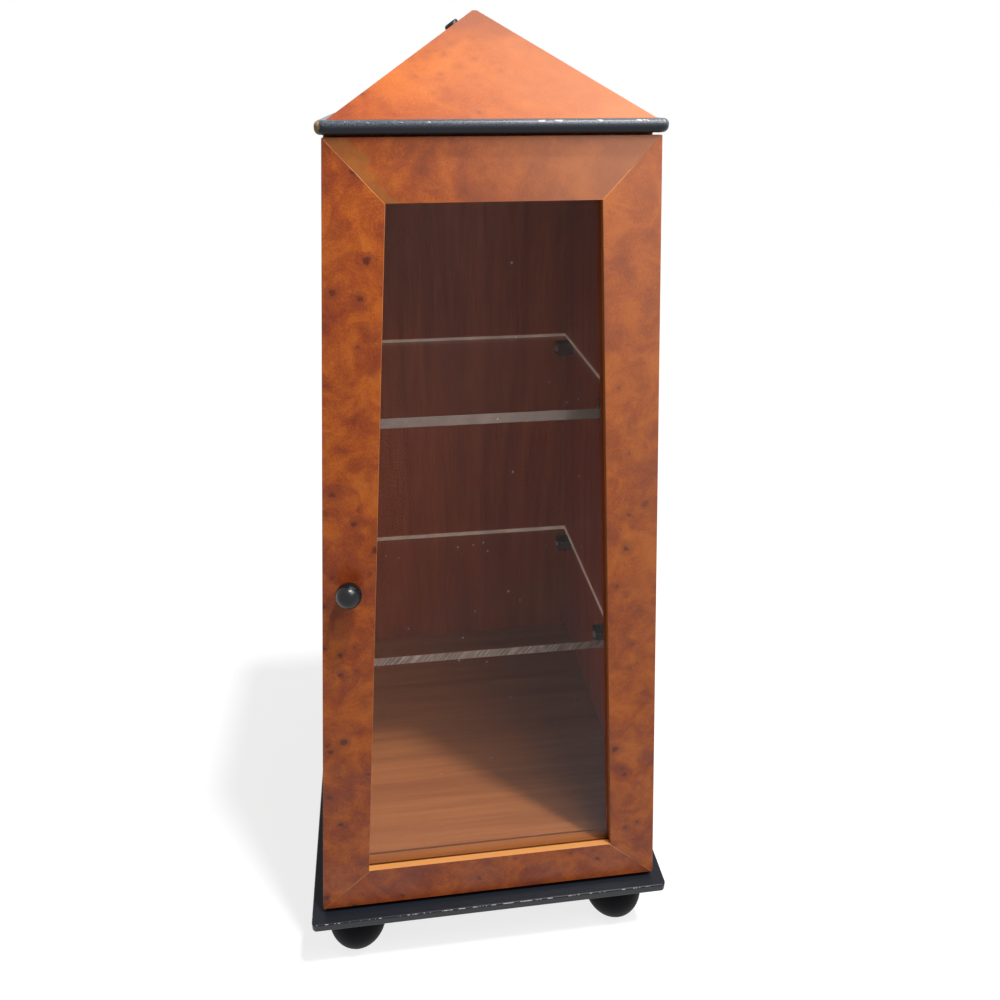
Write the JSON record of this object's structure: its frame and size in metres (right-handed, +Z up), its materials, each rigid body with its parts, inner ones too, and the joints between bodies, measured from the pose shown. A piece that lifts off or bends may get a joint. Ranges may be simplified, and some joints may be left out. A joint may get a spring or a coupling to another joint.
{
  "type": "countertop curio cabinet",
  "caption": "Obelisk-shaped countertop display cabinet: tapered wooden case on ball feet, pointed roof, glazed hinged door with a ball knob, and clear shelves on small supports.",
  "frame": {"origin": "on the table, under the middle of the base board", "axes": "+X to the right seen from the front, +Y towards the back, +Z up"},
  "size_m": [0.3, 0.3, 0.742],
  "materials": {
    "black_lacquer": "gloss black lacquer, rubbed through at some edges",
    "burl_veneer": "lacquered burl veneer",
    "stained_wood": "satin red-brown stain",
    "bare_wood": "unfinished",
    "door_glass": "clear, polished",
    "shelf_acrylic": "clear sheet with sawn edges",
    "hinge_brass": "satin",
    "screw_steel": "plain",
    "black_plastic": "moulded"
  },
  "bodies": {
    "case": {"base_board": "black_lacquer", "foot_front_left": "black_lacquer", "foot_front_right": "black_lacquer", "foot_rear_left": "black_lacquer", "foot_rear_right": "black_lacquer", "foot_dowels": "bare_wood", "left_side": "burl_veneer", "right_side": "burl_veneer", "back_panel": "stained_wood", "top_panel": "stained_wood", "floor_panel": "stained_wood", "floor_bearer_left": "stained_wood", "floor_bearer_right": "stained_wood", "floor_bearer_front": "stained_wood", "base_screws": "screw_steel", "cornice_board": "black_lacquer", "roof_front": "burl_veneer", "roof_right": "burl_veneer", "roof_back": "burl_veneer", "roof_left": "burl_veneer", "roof_block": "bare_wood", "top_screws": "screw_steel", "roof_button": "black_lacquer", "lower_hinge_case_leaf": "hinge_brass", "lower_hinge_pin": "hinge_brass", "upper_hinge_case_leaf": "hinge_brass", "upper_hinge_pin": "hinge_brass", "case_hinge_screws": "screw_steel", "door_catch": "black_plastic", "catch_screws": "screw_steel", "upper_shelf": "shelf_acrylic", "upper_shelf_supports": "black_plastic", "lower_shelf": "shelf_acrylic", "lower_shelf_supports": "black_plastic", "shelf_support_screws": "screw_steel"},
    "door": {"door_left_stile": "burl_veneer", "door_right_stile": "burl_veneer", "door_top_rail": "burl_veneer", "door_bottom_rail": "burl_veneer", "door_glass": "door_glass", "door_bead_left": "stained_wood", "door_bead_right": "stained_wood", "door_bead_top": "stained_wood", "door_bead_bottom": "stained_wood", "door_knob": "black_lacquer", "knob_screw": "screw_steel", "lower_hinge_door_leaf": "hinge_brass", "upper_hinge_door_leaf": "hinge_brass", "door_hinge_screws": "screw_steel", "strike_plate": "screw_steel", "strike_screws": "screw_steel"}
  },
  "joints": [
    {"name": "door_swing", "type": "hinge", "parent": "case", "child": "door", "pos_m": [0.14369, -0.12473, 0.06308], "axis": [-0.0675, 0.0675, 0.9954], "range_deg": [0, 170]}
  ]
}
